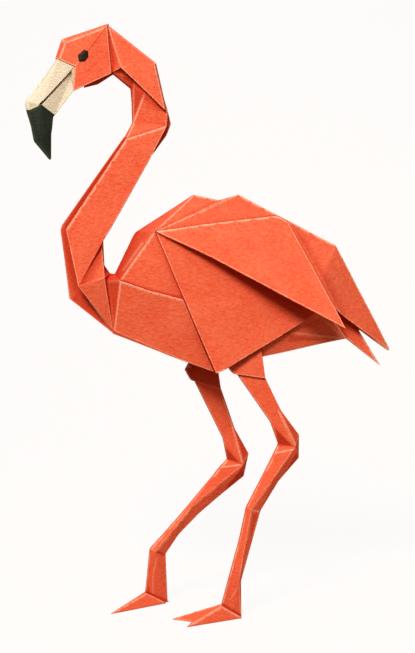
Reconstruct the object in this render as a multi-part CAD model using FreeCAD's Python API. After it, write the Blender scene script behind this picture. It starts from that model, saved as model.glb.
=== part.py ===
"""Origami flamingo: a folded coral sheet, two folded legs, a cream and black beak, two eyes.

Side view plane is X (back +, forward -) and Z (up); the bird's left side is -Y.
Every crease point is found from another one by a length and an angle, the angle being
measured from level and backwards (0) towards up (90). Half widths are distances from the
middle plane Y = 0. All lengths are in millimetres and all angles in degrees.
"""
import FreeCAD, Part
import math
import os
from FreeCAD import Vector

# ------------------------------------------------------------------ paper
ply = 0.3                        # one layer of paper
doubled = 2 * ply                # a flap or hem folded back on itself
layer_gap = 0.25                 # air between two folded layers
hem = 4.0                        # width of an edge folded under
glue_place = 5.0                 # shoulder to a dab of glue
glue_size = 2.0
seat = 0.1                       # how far a tucked piece presses into its pocket

# ------------------------------------------------------------------ body: folds fan out from the shoulder
shoulder_half = 13.0             # half width across the shoulders
breast_length = 23.5             # shoulder to the foot of the neck
breast_angle = -123.0
breast_half = 6.2
breast_depth = 20.5              # foot of the neck down to the keel
breast_lean = -96.0
keel_half = 0.9
belly_length = 28.0              # keel back along the lower edge of the breast
belly_angle = -24.0
flank_length = 29.0              # shoulder to the end of the breast fold
flank_angle = -67.5
flank_half = 12.3
haunch_length = 68.5             # shoulder to the haunch fold under the wing
haunch_angle = -37.0
haunch_half = 9.5
rump_length = 91.5               # shoulder to the rear end of the underside
rump_angle = -29.5
rump_half = 3.0

# ------------------------------------------------------------------ back and tail
hump_length = 22.0               # shoulder to the first hump of the back
hump_angle = 37.5
saddle_length = 31.0             # shoulder to the dip between the two humps
back_length = 38.0               # shoulder to the top of the back
back_angle = 20.5
croup_length = 76.0              # shoulder to the corner where the tail turns down
croup_angle = -5.6
tail_length = 111.0              # shoulder to the tip of the tail
tail_angle = -27.0
under_tail_length = 110.5        # shoulder to the tip of the lower tail
under_tail_angle = -31.0
tail_notch = 96.5                # shoulder to where the tail parts from the fin below it
haunch_drop = 1.2                # how far the haunch hangs below the belly line

# ------------------------------------------------------------------ wings
upper_wing_length = 83.5         # shoulder to the tip of the upper wing
upper_wing_angle = -27.5
upper_wing_lift = 8.5            # how far the tip stands out from the body
wing_top_length = 51.0           # shoulder to the rounded top corner
wing_top_angle = 5.5
wing_back_length = 55.5
wing_back_angle = 2.0
lower_wing_depth = 61.2          # shoulder to the lowest corner of the lower wing
lower_wing_angle = -67.0
lower_wing_rear = 73.5           # shoulder to its rear corner
lower_wing_rear_angle = -27.5
lower_wing_half = 14.5

# ------------------------------------------------------------------ neck
base_front = 23.0                # keel up to the front corner of the neck base
base_front_angle = 128.0
base_back = 22.0                 # keel up to the fold behind the neck base
base_back_angle = 100.0
base_half = 7.0
bend_rise = 23.0                 # front corner of the base up to the bend
bend_angle = 102.0
neck_length = 42.5               # straight part of the neck
neck_angle = 55.5
neck_half = 6.4
neck_top_width = 17.0            # across the slanted top end of the straight part
neck_top_angle = 17.0
neck_top_half = 5.2
nape_length = 24.0               # back of the loop
nape_angle = 101.0
crown_length = 23.5              # top of the loop, up to the crown
crown_angle = 142.5
lap_length = 16.5                # crown down to the corner of the outer flap
lap_angle = -73.0
lap_half = 5.6
neck_fold_top = 15.0             # back of the neck's top end down to its back fold
neck_fold_bend = 25.5            # front corner of the base up to the bend of that fold
neck_fold_end = 19.0             # and up to its lower end
pleat_rise = 14.0                # height of the pleat behind the neck base
neck_tuck = 3.0                  # how far the loop reaches into the straight part
spine_half = 0.5                 # half thickness of the inner plies along the middle

# ------------------------------------------------------------------ head
head_length = 17.5               # crown to brow
head_angle = -159.5
crown_half = 3.0
face_length = 7.0                # brow down to the beak
face_angle = -111.5
cheek_length = 20.0              # crown to the corner of the mouth
cheek_angle = -129.5
cheek_half = 5.0
chin_length = 9.5
chin_angle = -94.5
throat_length = 18.0             # crown down to the throat
throat_angle = -85.0
throat_half = 3.0
ridge_rise = 1.5                 # height of the middle ridge over the side panels
eye_place = 5.0                  # corner of the mouth to the eye, along the crease
eye_reach = 2.85                 # half length of the eye
eye_height = 0.6

# ------------------------------------------------------------------ beak
beak_length = 19.5               # corner of the mouth to the black tip, along the slit
beak_angle = -132.5
beak_half = 3.2
bill_depth = 6.0                 # upper half of the beak at its end
jaw_depth = 7.0                  # lower half of the beak at its end
tip_length = 23.0
tip_angle = -79.5
beak_root = 3.5                  # length of the beak inside the head
slit_width = 0.8
tongue_half = 0.9                # half thickness of the tongue between the beak and its tip

# ------------------------------------------------------------------ legs
leg_half = 1.2                   # half thickness of the folded strip
knee_half = 2.6
sleeve_half = 2.2                # half thickness of the thigh sleeve
sleeve_width = 11.0
sleeve_height = 13.0
thigh_width = 11.6
leg_tongue = 7.0                 # length of the leg inside its sleeve
hip_half = 8.7                   # half distance between the legs at the hips
left_hip_length = 70.3           # shoulder to the left hip
left_hip_angle = -56.3
left_tilt = -9.4                 # slope of the sleeve's lower edge
left_thigh = 34.4
left_thigh_angle = -58.7
left_stance = 5.0                # distance of the left heel from the middle plane
right_hip_length = 68.8
right_hip_angle = -69.1
right_tilt = -18.6
right_thigh = 37.5
right_thigh_angle = -66.2
right_stance = 21.0
left_shin_angle = -125.0
right_shin_angle = -140.0
# Each row of a shin: length and angle from the row before, width ahead of and behind the
# ridge, half thickness at the ridge, slope of the row. The last right length is a guide:
# it is made to end at the same height as the left one.
left_shin = [(15.0, -125.0, 4.2, 2.9, 2.5, -35.0), (15.2, -125.0, 2.1, 4.1, 2.2, -14.0),
             (14.2, -99.0, 2.7, 2.7, 2.0, -10.0), (16.1, -99.0, 4.3, 0.9, 1.6, -10.0),
             (12.6, -103.5, 4.7, 4.9, 1.2, -32.0)]
right_shin = [(13.0, -140.0, 4.0, 4.4, 2.5, -50.0), (14.4, -140.0, 1.2, 4.7, 2.2, -45.0),
              (12.9, -128.5, 1.7, 3.6, 2.1, -30.0), (10.9, -128.5, 2.3, 4.8, 2.0, -18.0),
              (19.4, -92.7, 3.1, 7.5, 1.2, -27.0)]
shin_edge = 0.8                  # half thickness along both edges of a shin
ankle_height = 3.5
foot_height = 6.0                # top of the fold over the left ankle
right_foot_height = 5.3
ankle_half = 1.3
ankle_tuck = 1.8                 # length of the leg inside the foot
foot_edge = 0.5                  # thickness of the paper round the sole
ankle_reach = 8.5                # heel to the top of the fold
heel_back = 4.1                  # ankle to the left heel
right_heel_back = 5.8
heel_half = 1.7
inner_toe = 28.2                 # heel to the tips of the left toes
inner_toe_yaw = 3.0
outer_toe = 25.8
outer_toe_yaw = -21.9
toe_notch = 20.8
toe_notch_yaw = -8.3
right_toe = 27.8
right_toe_yaw = -27.7


# ------------------------------------------------------------------ points and folds
def go(start, length, angle, half=0.0):
    """Point at a length and angle from another one, at a half width on the left side."""
    turn = math.radians(angle)
    return Vector(start.x + length * math.cos(turn), -half, start.z + length * math.sin(turn))


def at(point, half):
    """The same place in side view at another half width."""
    return Vector(point.x, -half, point.z)


def between(a, b, share):
    return a + (b - a) * share


def on_plane(point, a, b, c, out=0.0):
    """The point moved sideways onto the plane of three others, then out from the middle."""
    n = (b - a).cross(c - a)
    y = a.y - (n.x * (point.x - a.x) + n.z * (point.z - a.z)) / n.y
    return Vector(point.x, y - out, point.z)


def mirrored(v):
    return Vector(v.x, -v.y, v.z)


# ------------------------------------------------------------------ solids from facets
def key(v):
    return (round(v.x, 5), round(v.y, 5), round(v.z, 5))


def triangles_of(facets):
    """Fan triangles of each facet, turned so that neighbours agree; the first faces left."""
    points, index, loose = [], {}, []
    for facet in facets:
        ids = []
        for v in facet:
            if key(v) not in index:
                index[key(v)] = len(points)
                points.append(v)
            ids.append(index[key(v)])
        loose += [(ids[0], ids[i], ids[i + 1]) for i in range(1, len(ids) - 1)]
    a, b, c = loose.pop(0)
    if (points[b] - points[a]).cross(points[c] - points[a]).y > 0:
        a, b, c = c, b, a
    settled = [(a, b, c)]
    directed = {(a, b), (b, c), (c, a)}
    while loose:
        for t in loose:
            edges = {(t[0], t[1]), (t[1], t[2]), (t[2], t[0])}
            if {(q, p) for p, q in edges} & directed:
                settled.append(t)
                directed |= edges
                break
            if edges & directed:
                settled.append(t[::-1])
                directed |= {(q, p) for p, q in edges}
                break
        else:
            raise ValueError("a facet shares no edge with the rest")
        loose.remove(t)
    return points, settled


def add_right_side(points, triangles):
    """Add the mirror image; points on the middle plane are shared."""
    points, twin = list(points), {}
    for i, v in enumerate(list(points)):
        if abs(v.y) < 1e-6:
            twin[i] = i
        else:
            twin[i] = len(points)
            points.append(mirrored(v))
    right = [(twin[c], twin[b], twin[a]) for a, b, c in triangles]
    return points, triangles + right


def solid_of(points, triangles):
    """A solid from a closed set of triangles, with flat neighbours merged."""
    volume = sum(points[a].dot(points[b].cross(points[c])) for a, b, c in triangles)
    if volume < 0:
        triangles = [t[::-1] for t in triangles]
    skin = Part.Shape()
    skin.makeShapeFromMesh((points, triangles), 1e-4)
    return Part.makeSolid(skin).removeSplitter()


def open_edges(triangles):
    directed = {(t[i], t[(i + 1) % 3]) for t in triangles for i in range(3)}
    return [e for e in directed if e[::-1] not in directed]


def folded(facets, thickness=doubled, both_sides=True):
    """A folded sheet: facets give its outer face, the inner face lies one thickness inside."""
    points, triangles = triangles_of(facets)
    if both_sides:
        points, triangles = add_right_side(points, triangles)
    normals = [[] for _ in points]
    for a, b, c in triangles:
        n = (points[b] - points[a]).cross(points[c] - points[a])
        n.normalize()
        for i in (a, b, c):
            if all(n.dot(m) < 0.9999 for m in normals[i]):
                normals[i].append(n)
    inner = []
    for v, around in zip(points, normals):
        shift = Vector(0, 0, 0)
        for _ in range(200):
            for n in around:
                shift = shift - n * (0.5 * (thickness + n.dot(shift)))
        if shift.Length > 3 * thickness:
            shift = shift * (3 * thickness / shift.Length)
        inside = v + shift
        if both_sides and abs(v.y) > 1e-6 and inside.y * v.y <= 0.0:
            inside.y = math.copysign(0.05, v.y)
        inner.append(inside)
    count = len(points)
    skin = list(triangles)
    skin += [(c + count, b + count, a + count) for a, b, c in triangles]
    for a, b in open_edges(triangles):
        skin += [(b, a, a + count), (b, a + count, b + count)]
    return solid_of(points + inner, skin)


def pressed(facets, middle=None):
    """Plies pressed flat: facets give the left face, the right one is its mirror.

    The middle plane may lean: middle(point) gives its sideways place.
    """
    points, triangles = triangles_of(facets)
    twin, skin, all_points = {}, list(triangles), list(points)
    for i, v in enumerate(points):
        if abs(v.y) < 1e-6:
            twin[i] = i
        else:
            twin[i] = len(all_points)
            all_points.append(mirrored(v))
    skin += [(twin[c], twin[b], twin[a]) for a, b, c in triangles]
    for a, b in open_edges(triangles):
        for t in ((b, a, twin[a]), (b, twin[a], twin[b])):
            if len(set(t)) == 3:
                skin.append(t)
    if middle:
        all_points = [v + Vector(0, middle(v), 0) for v in all_points]
    return solid_of(all_points, skin)


def closed_solid(facets):
    """A solid from a complete list of facets."""
    points, triangles = triangles_of(facets)
    return solid_of(points, triangles)


def flap(corners, thickness=doubled):
    """A flat flap: its outer face is the polygon, its thickness goes inwards."""
    face = Part.Face(Part.makePolygon(corners + [corners[0]]))
    n = (corners[1] - corners[0]).cross(corners[2] - corners[0])
    n.normalize()
    if n.y < 0:
        n = n * -1
    return face.extrude(n * thickness)


def plate(outline, half, y=0.0):
    """A flat stack of plies with an outline in side view."""
    corners = [Vector(v.x, y - half, v.z) for v in outline]
    return Part.Face(Part.makePolygon(corners + [corners[0]])).extrude(Vector(0, 2 * half, 0))


def both(shape):
    return [shape, shape.mirror(Vector(0, 0, 0), Vector(0, 1, 0))]


# ------------------------------------------------------------------ crease points of the coral sheet
shoulder = Vector(0, -shoulder_half, 0)
breast = go(shoulder, breast_length, breast_angle, breast_half)
keel = go(breast, breast_depth, breast_lean, keel_half)
flank = go(shoulder, flank_length, flank_angle, flank_half)
haunch = go(shoulder, haunch_length, haunch_angle, haunch_half)
rump = go(shoulder, rump_length, rump_angle, rump_half)
shoulder_fold = go(shoulder, 6.0, -129.5, shoulder_half - 3.0)
ridge_foot = go(shoulder, 22.5, -129.0)
ridge_low = go(shoulder, 7.0, -160.5)
ridge_high = go(shoulder, 6.0, -167.5)
hump = go(shoulder, hump_length, hump_angle)
saddle = go(shoulder, saddle_length, back_angle)
back_top = go(shoulder, back_length, back_angle)
croup = go(shoulder, croup_length, croup_angle)
tail_tip = go(shoulder, tail_length, tail_angle)

back_fold = at(shoulder, shoulder_half + layer_gap + doubled)
lower_fold = at(shoulder, shoulder_half + layer_gap + doubled + 0.2)
lower_low = go(shoulder, lower_wing_depth, lower_wing_angle, lower_wing_half)
lower_rear = go(shoulder, lower_wing_rear, lower_wing_rear_angle, haunch_half + doubled)
breast_edge = at(breast, breast_half + layer_gap + doubled)
breast_edge_end = at(flank, flank_half + layer_gap + doubled)
base_corner = go(keel, base_front, base_front_angle, base_half)
base_fold = go(keel, base_back, base_back_angle, base_half - 1.4)
bend = go(base_corner, bend_rise, bend_angle, neck_half)
neck_top = go(bend, neck_length, neck_angle, neck_top_half)
neck_top_back = go(neck_top, neck_top_width, neck_top_angle, neck_top_half)
lap_end = go(neck_top_back, 6.0, 98.5, lap_half - 1.0)
nape = go(neck_top_back, nape_length, nape_angle, 2.2)
crown = go(nape, crown_length, crown_angle, crown_half)
lap = go(crown, lap_length, lap_angle, lap_half)
throat = go(crown, throat_length, throat_angle, throat_half)
brow = go(crown, head_length, head_angle, crown_half + 0.4)
cheek = go(crown, cheek_length, cheek_angle, cheek_half)
face = on_plane(go(brow, face_length, face_angle), crown, brow, cheek)
chin = on_plane(go(cheek, chin_length, chin_angle), crown, cheek, throat)


# ------------------------------------------------------------------ the coral sheet
def head_hood():
    """Both cheeks and the ridge over them, open below for the beak and the neck."""
    crown_ridge = go(crown, ridge_rise, 55.5)
    brow_ridge = go(brow, ridge_rise, 128.0)
    face_ridge = go(face, 1.0, 167.5)
    return folded([
        (crown, brow, cheek), (brow, face, cheek), (crown, cheek, chin, throat),
        (crown, crown_ridge, brow_ridge, brow), (brow, brow_ridge, face_ridge, face)])


def nape_hood():
    """The outer flap of the upper neck, pleated where it comes out from under the head."""
    start = at(go(crown, 0.5, -40.0), crown_half - 0.7)
    start_ridge = go(crown, ridge_rise - 0.6, 40.0)
    nape_ridge = go(nape, 1.0, 28.0)
    lap_ridge = go(lap_end, 1.2, 20.0)
    pleat = go(crown, 0.78 * throat_length, throat_angle + 4.0, throat_half - 0.8)
    inside = go(crown, throat_length - 0.5, throat_angle + 1.5, throat_half - 0.9)
    tuck = on_plane(go(throat, 5.0, 150.0), crown, cheek, chin, -doubled - 0.1)
    return folded([
        (start, nape, lap), (lap, nape, lap_end), (start, lap, pleat), (pleat, lap, inside),
        (start, pleat, inside, tuck),
        (start, start_ridge, nape_ridge, nape), (nape, nape_ridge, lap_ridge, lap_end)])


def loop_lining():
    """The inner folds of the loop, seen under the outer flap."""
    inner_top = go(crown, throat_length - 0.5, throat_angle + 1.5, throat_half - 1.1)
    under_lap = at(lap, 3.4)
    first = go(lap, 7.0, -43.5, 3.4)
    second = go(lap, 13.5, -45.0, 3.9)
    corner = go(lap, 9.0, -57.0, 1.6)
    heel = at(go(neck_top, 6.8, 63.0), 1.5)
    knuckle = at(neck_top_back, 3.4)
    lap_under = at(go(lap_end, 1.2, 20.0), 2.8)
    top_corner = at(neck_top, 3.9)
    middle_top = go(throat, 1.0, -20.0)
    middle_corner = go(lap, 9.5, -60.0)
    middle_heel = go(neck_top, 6.9, 61.0)
    middle_low = go(neck_top, 2.1, 28.0)
    tuck = go(Vector(0, 0, 0), neck_tuck, neck_angle + 180.0)
    rise = go(Vector(0, 0, 0), 3.0, 45.0)
    return folded([
        (inner_top, under_lap, first, corner), (first, second, heel, corner),
        (second, lap_under, knuckle, heel), (heel, knuckle, top_corner),
        (top_corner, knuckle, knuckle + tuck, top_corner + tuck),
        (under_lap, under_lap + rise, first + rise, first),
        (first, first + rise, second + rise, second), (second, second + rise, lap_under),
        (inner_top, corner, middle_corner, middle_top), (corner, heel, middle_heel, middle_corner),
        (heel, top_corner, middle_low, middle_heel)])


def straight_neck():
    """The flat side panels of the neck with their back fold."""
    low_back = go(base_corner, neck_fold_end, 61.0, neck_half - 0.8)
    back_top = go(neck_top_back, neck_fold_top, -118.0)
    back_mid = go(base_corner, neck_fold_bend, 60.0)
    plane = (bend, neck_top, low_back)
    corner = on_plane(base_corner, *plane)
    top_back = on_plane(neck_top_back, *plane)
    back_top = on_plane(back_top, *plane)
    back_mid = on_plane(back_mid, *plane)
    ridge_top = go(back_top, 0.5, -35.0)
    ridge_mid = go(back_mid, 0.6, -35.0)
    ridge_low = go(low_back, 0.6, -35.0)
    return folded([
        (bend, neck_top, top_back, back_top, back_mid, low_back, corner),
        (back_top, ridge_top, ridge_mid, back_mid), (back_mid, ridge_mid, ridge_low, low_back)])


def breast_folds():
    """Neck base, the dark pleat behind it and the breast, down to the keel."""
    fold_corner = at(base_corner, base_half - 0.5)
    up_front = go(base_corner, 4.0, bend_angle, base_half - 1.2)
    up_back = go(base_fold, pleat_rise, 94.0, 3.8)
    pleat = go(keel, breast_depth, 99.0, 3.4)
    edge, edge_end = breast_edge, breast_edge_end
    edge_mid = between(edge, edge_end, 0.45) + Vector(0, 0, -0.5)
    plane = (edge, edge_end, keel)
    belly = on_plane(go(keel, belly_length, belly_angle), *plane)
    corner = on_plane(go(shoulder, lower_wing_depth, lower_wing_angle), *plane)
    edge_mid = on_plane(edge_mid, *plane)
    middle_top = go(base_fold, pleat_rise, 89.0)
    middle_fold = go(base_fold, 3.0, 76.5)
    middle_pleat = go(base_fold, 3.2, 20.0)
    middle_edge = go(breast, 2.6, 121.0)
    return folded([
        (edge_mid, edge_end, corner, belly, keel, edge), (pleat, edge, keel),
        (base_fold, pleat, keel), (fold_corner, base_fold, keel),
        (fold_corner, up_front, up_back, base_fold),
        (up_back, middle_top, middle_fold, base_fold),
        (base_fold, middle_fold, middle_pleat, pleat), (pleat, middle_pleat, middle_edge, edge)])


def body_walls():
    """Shoulders, the flat under the breast fold and the hidden walls behind the wings."""
    under_wing = (lower_fold, lower_low, lower_rear, -doubled - layer_gap)
    under_back = (back_fold, back_top, croup, seat - doubled)
    under_breast = (breast_edge, breast_edge_end, keel, seat - doubled)
    wall_corner = between(shoulder, lower_low, 0.93)
    wall_corner = on_plane(wall_corner, *under_wing)
    haunch_low = between(wall_corner, rump, 0.35)
    haunch_low = go(haunch_low, haunch_drop, lower_wing_angle, haunch_half)
    rear = on_plane(go(shoulder, lower_wing_rear, lower_wing_rear_angle + 4.5), *under_back)
    root = at(between(rear, rump, 0.35), 2 * rump_half)
    breast_hem = on_plane(go(breast, hem, -70.0), *under_breast)
    flank_hem = on_plane(go(flank, hem, -90.0), *under_breast)
    return folded([
        (shoulder, breast, flank), (ridge_foot, ridge_low, shoulder_fold, breast),
        (shoulder_fold, shoulder, breast),
        (ridge_low, ridge_high, shoulder_fold), (ridge_high, shoulder, shoulder_fold),
        (ridge_high, hump, shoulder), (hump, saddle, shoulder),
        (breast, flank, flank_hem, breast_hem),
        (shoulder, flank, haunch), (shoulder, haunch, rear), (flank, wall_corner, haunch),
        (wall_corner, haunch_low, rump, haunch), (haunch, rump, root, rear)])


def back_and_tail():
    """The back from the front edge of its fold to the tip of the tail."""
    edge = between(back_fold, back_top, 0.8)
    edge = go(edge, 0.6, back_angle + 90.0, 1.2)
    hidden = between(back_fold, lower_rear, 0.95)
    hidden = on_plane(go(hidden, 8.0, lower_wing_rear_angle + 90.0), back_fold, back_top, croup)
    tail_plane = (croup, tail_tip, hidden)
    tail_edge = on_plane(go(shoulder, tail_notch, tail_angle + 1.0), *tail_plane)
    tail_root = on_plane(go(shoulder, 0.87 * tail_notch, tail_angle + 2.5), *tail_plane)
    return folded([
        (back_fold, edge, back_top), (back_fold, back_top, croup), (back_fold, croup, hidden),
        (croup, tail_tip, tail_edge, tail_root, hidden)])


def upper_wing():
    """The top wing: one flat flap that stands out towards its tip."""
    out = shoulder_half + 2 * (layer_gap + doubled)
    start = at(shoulder, out)
    top = go(shoulder, wing_top_length - 3.0, wing_top_angle, 2.2)
    tip = go(shoulder, upper_wing_length, upper_wing_angle, out + upper_wing_lift)
    plane = (start, top, tip)
    top_low = on_plane(go(shoulder, 18.0, 6.5), *plane)
    round_top = on_plane(go(shoulder, wing_top_length, wing_top_angle - 0.3), *plane)
    round_back = on_plane(go(shoulder, wing_back_length - 1.5, wing_back_angle + 1.4), *plane)
    back = on_plane(go(shoulder, wing_back_length, wing_back_angle), *plane)
    bottom = on_plane(go(shoulder, 24.0, upper_wing_angle + 2.4), *plane)
    return flap([start, top_low, top, round_top, round_back, back, tip, bottom])


def lower_wing():
    """The wing under it, from the shoulder down to its lowest corner."""
    plane = (lower_fold, lower_low, lower_rear)
    low_back = on_plane(go(between(lower_low, lower_rear, 0.1), 0.9, -110.0), *plane)
    rear_top = between(lower_fold, lower_rear, 0.92)
    rear_top = on_plane(go(rear_top, 10.0, lower_wing_rear_angle + 90.0), *plane)
    return flap([lower_fold, lower_low, low_back, lower_rear, rear_top])


def lower_tail():
    """The inner tail: a narrow fin along the middle that shows below the upper one."""
    tip = go(shoulder, under_tail_length, under_tail_angle, 0.4)
    corner = at(rump, 1.5)
    root = at(between(rump, shoulder, 0.09), 3.0)
    edge = go(corner, 6.4, 24.5, 0.9)
    top = go(root, 8.9, 80.0, 2.0)
    ridge = go(croup, 6.0, -75.0, 0.6)
    ridge_end = go(croup, 22.0, -64.5, 0.6)
    return pressed([(root, top, corner), (top, edge, corner), (corner, edge, tip),
                    (top, ridge, ridge_end, edge)])


def spine():
    """The inner plies of the neck strip, pressed along the middle from head to keel."""
    loop = [
        go(keel, 1.5, -79.0), go(keel, 21.5, 143.0), go(bend, 1.5, -165.0), go(bend, 1.5, 125.5),
        go(neck_top, 0.5, 147.5), go(neck_top, 1.8, 30.0), go(neck_top, 6.9, 60.0),
        go(lap, 9.2, -61.0), go(throat, 1.0, -20.0), go(throat, 6.5, -140.0),
        go(chin, 4.8, 17.0), go(chin, 10.0, 60.0),
        go(go(crown, 0.5 * head_length, head_angle), ridge_rise - 0.4, head_angle - 90.0),
        go(crown, ridge_rise - 0.4, 65.0), go(crown, 1.2, 0.0),
        go(nape, 0.6, -120.0), go(lap_end, 1.4, 25.0), go(neck_top_back, 2.0, 12.5),
        go(neck_top_back, 4.0, -87.0), go(neck_top_back, 10.5, -112.5),
        go(neck_top_back, neck_fold_top, -118.0), go(base_corner, neck_fold_bend, 60.0),
        go(base_corner, neck_fold_end, 60.0),
        go(base_fold, pleat_rise, 90.0), go(base_fold, 3.0, 78.0), go(base_fold, 3.0, 20.0),
        go(breast, 2.4, 121.0), go(breast, 1.0, -60.0)]
    return plate(loop, spine_half)


def thigh_sleeve(hip, tilt, y):
    """A short tube of paper that hangs from the body and holds the top of a leg."""
    middle = Vector(hip.x, 0, hip.z)
    front = go(middle, sleeve_width / 2, tilt + 180.0)
    back = go(middle, sleeve_width / 2, tilt)
    outline = [front, go(front, 2.0, tilt + 180.0), go(front, 6.0, tilt + 150.0),
               go(front, sleeve_height, tilt + 105.0), go(back, sleeve_height, 98.0), back]
    return plate(outline, sleeve_half, y)


def points_beside(knee, angle):
    """Points beside a straight limb: down it from the knee, back across it, out from its middle."""
    down = go(Vector(0, 0, 0), 1.0, angle)
    back = Vector(-down.z, 0, down.x)
    return lambda along, across, half: knee + down * along + back * across - Vector(0, half, 0)


def leg_strip(hip, tilt, thigh, thigh_angle, shin_angle, shin, middle, ground):
    """A folded strip: flat thigh, pinched knee and creased shin, down to the ankle."""
    knee = go(hip, thigh, thigh_angle)
    beside = points_beside(knee, thigh_angle)
    below = points_beside(knee, shin_angle)
    front, back = go(hip, thigh_width / 2, tilt + 180.0), go(hip, thigh_width / 2, tilt)
    up = go(Vector(0, 0, 0), leg_tongue, thigh_angle + 180.0)
    top = [at(v + up, leg_half) for v in (front, back)]
    front, back = at(front, leg_half), at(back, leg_half)
    pinch = at(knee, knee_half)
    front_end = beside(-13.8, -2.9, leg_half)
    fold_top = beside(-17.7, 2.6, leg_half + 0.3)
    back_end = beside(-15.5, 3.1, leg_half - 0.3)
    notch = beside(-4.7, -4.8, 0.5)
    back_high = beside(-3.0, 4.3, 0.5)
    back_low = below(2.6, 4.5, 0.5)
    corner = below(7.4, -5.2, leg_half)
    facets = [
        (front, back, fold_top, front_end), (top[0], top[1], back, front),
        (back, back_end, fold_top), (front_end, fold_top, pinch),
        (fold_top, back_end, back_high, pinch), (front_end, pinch, notch),
        (notch, pinch, corner), (pinch, back_high, back_low)]
    ridge, rows = knee, []
    for length, angle, ahead, behind, half, slope in shin:
        ridge = go(ridge, length, angle)
        rows.append((go(ridge, ahead, slope + 180.0, shin_edge), at(ridge, half),
                     go(ridge, behind, slope, shin_edge)))
    first = rows[0]
    facets += [(corner, pinch, first[1], first[0]), (pinch, back_low, first[2], first[1])]
    down = go(Vector(0, 0, 0), ankle_tuck, shin[-1][1])
    tucked = [v + down for v in rows[-1]]
    rows.append([Vector(v.x, v.y, max(v.z, ground + 0.2)) for v in tucked])
    for upper, lower in zip(rows, rows[1:]):
        facets += [(upper[0], upper[1], lower[1], lower[0]),
                   (upper[1], upper[2], lower[2], lower[1])]
    return pressed(facets, middle)


def foot(heel, rise, corners):
    """A tent of folded paper over a flat sole; the corners lie round the heel."""
    def from_heel(length, yaw, height):
        turn = math.radians(yaw)
        return heel + Vector(-length * math.cos(turn), length * math.sin(turn), height)

    top = from_heel(ankle_reach, corners[-1][1] / 3, rise)
    tops = {-1: top - Vector(0, ankle_half, 0), 1: top + Vector(0, ankle_half, 0)}
    sole = [from_heel(length, yaw, 0.0) for length, yaw, side in corners]
    edge = [from_heel(length, yaw, foot_edge) for length, yaw, side in corners]
    facets = [tuple(sole)]
    for i in range(len(sole)):
        j = (i + 1) % len(sole)
        start, end = tops[corners[i][2]], tops[corners[j][2]]
        facets.append((sole[i], sole[j], edge[j], edge[i]))
        if start == end:
            facets.append((edge[i], edge[j], start))
        else:
            facets.append((edge[i], edge[j], end, start))
    return closed_solid(facets)


def path_end(start, rows):
    """The point after a chain of rows, each given by a length and an angle first."""
    for row in rows:
        start = go(start, row[0], row[1])
    return start


def leaning(hip, y_hip, ground, y_ground):
    """The sideways place of a leg's middle plane, which leans from the hip to the ground."""
    return lambda v: y_hip + (y_ground - y_hip) * (hip.z - v.z) / (hip.z - ground)


def build_left_leg():
    """The left leg with its two toes; the ground is found from it."""
    hip = go(at(shoulder, 0), left_hip_length, left_hip_angle)
    ankle = path_end(go(hip, left_thigh, left_thigh_angle), left_shin)
    ground = ankle.z - ankle_height
    middle = leaning(hip, -hip_half, ground, -left_stance)
    strip = leg_strip(hip, left_tilt, left_thigh, left_thigh_angle, left_shin_angle, left_shin,
                      middle, ground)
    heel = Vector(ankle.x + heel_back, middle(Vector(0, 0, ground)), ground)
    toes = foot(heel, foot_height, [
        (toe_notch, toe_notch_yaw, -1), (inner_toe, inner_toe_yaw, 1), (heel_half, 90.0, 1),
        (heel_half, -90.0, -1), (outer_toe, outer_toe_yaw, -1)])
    return fused([strip, toes]), thigh_sleeve(hip, left_tilt, middle(hip)), ground


def build_right_leg(ground):
    """The right leg with its single toe; its last row is made to reach the ground."""
    hip = go(at(shoulder, 0), right_hip_length, right_hip_angle)
    knee = go(hip, right_thigh, right_thigh_angle)
    shin = list(right_shin)
    last = shin[-1]
    above = path_end(knee, shin[:-1])
    reach = (above.z - ground - ankle_height) / -math.sin(math.radians(last[1]))
    shin[-1] = (reach,) + last[1:]
    ankle = path_end(knee, shin)
    middle = leaning(hip, hip_half, ground, right_stance)
    strip = leg_strip(hip, right_tilt, right_thigh, right_thigh_angle, right_shin_angle, shin,
                      middle, ground)
    heel = Vector(ankle.x + right_heel_back, middle(Vector(0, 0, ground)), ground)
    toes = foot(heel, right_foot_height, [
        (heel_half, 90.0, 1), (heel_half, -90.0, -1), (right_toe, right_toe_yaw, -1)])
    return fused([strip, toes]), thigh_sleeve(hip, right_tilt, middle(hip))


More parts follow.
